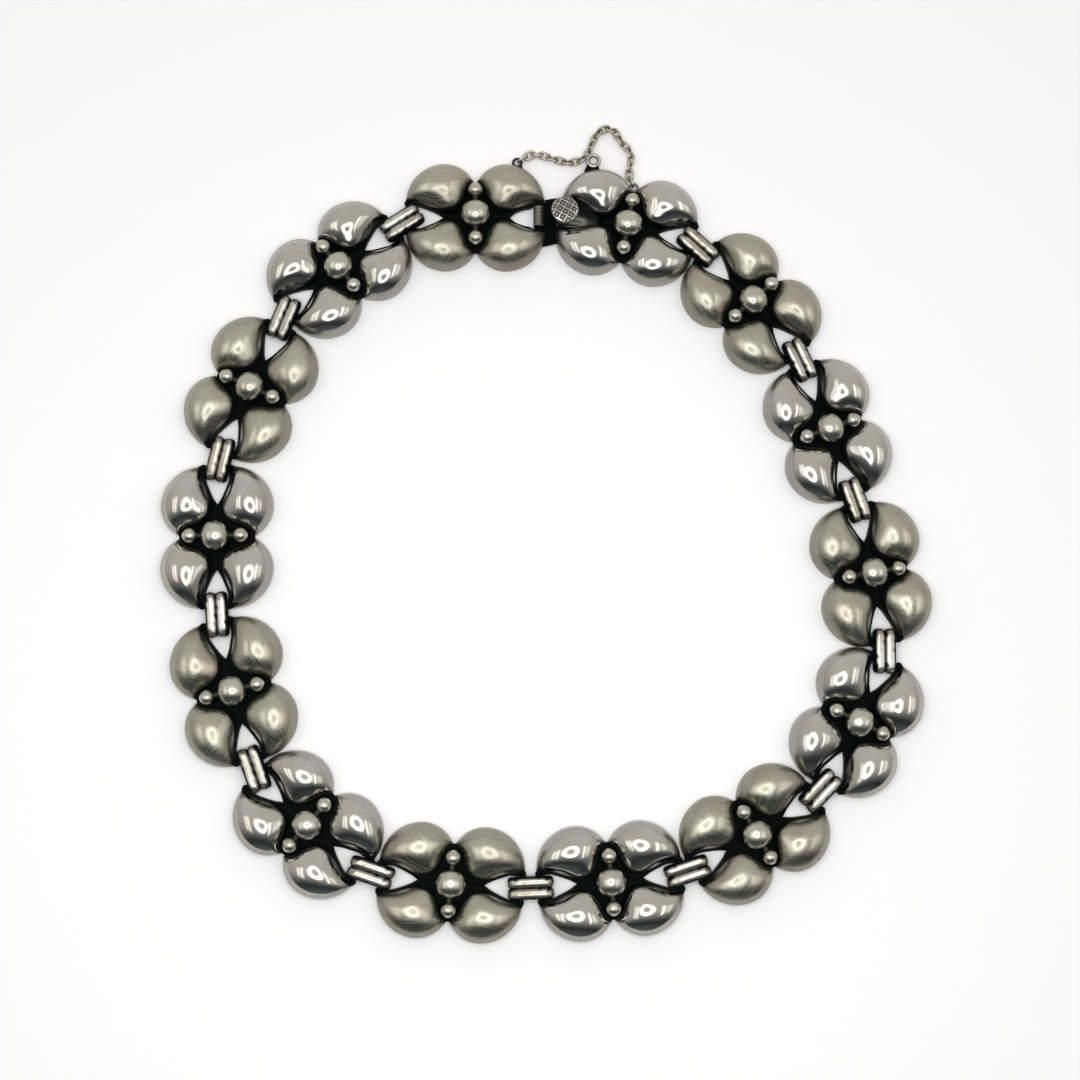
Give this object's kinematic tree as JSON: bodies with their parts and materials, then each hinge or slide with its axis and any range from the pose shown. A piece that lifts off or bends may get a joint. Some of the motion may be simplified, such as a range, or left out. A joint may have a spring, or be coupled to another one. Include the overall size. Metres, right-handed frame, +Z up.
{
  "type": "link choker",
  "caption": "Modernist silver choker of hollow four-domed links with beads between them, joined by flat double loops, with a box clasp and a safety chain, fastened in a ring",
  "frame": {"origin": "under the middle of the fastened ring, in the plane of the surface that it lies on", "axes": "+Z up, away from that surface, +Y towards the clasp, +X to the right as seen from above with the clasp at the top"},
  "size_m": [0.1384, 0.1486, 0.0056],
  "materials": {
    "polished_silver": "polished silver, lightly worn",
    "satin_silver": "satin-brushed silver with a light tarnish",
    "oxidised_silver": "darkened silver"
  },
  "bodies": {
    "necklace": {"link_01": "polished_silver", "link_02": "satin_silver", "link_03": "polished_silver", "link_04": "satin_silver", "link_05": "polished_silver", "link_06": "satin_silver", "link_07": "polished_silver", "link_08": "satin_silver", "link_09": "polished_silver", "link_10": "satin_silver", "link_11": "polished_silver", "link_12": "satin_silver", "link_13": "polished_silver", "link_14": "satin_silver", "connector_01": "polished_silver", "connector_02": "polished_silver", "connector_03": "polished_silver", "connector_04": "polished_silver", "connector_05": "polished_silver", "connector_06": "polished_silver", "connector_07": "polished_silver", "connector_08": "polished_silver", "connector_09": "polished_silver", "connector_10": "polished_silver", "connector_11": "polished_silver", "connector_12": "polished_silver", "connector_13": "polished_silver", "clasp_tongue": "oxidised_silver", "safety_chain": "polished_silver"},
    "thumb_leaf": {"clasp_thumb": "polished_silver"}
  },
  "joints": [
    {"name": "clasp_press", "type": "hinge", "parent": "necklace", "child": "thumb_leaf", "pos_m": [0.00683, 0.05614, 0.00135], "axis": [0.1822, 0.9833, 0], "range_deg": [-6.5, 0], "stiffness_Nm_per_rad": 0.001, "springref_deg": 2.86}
  ]
}
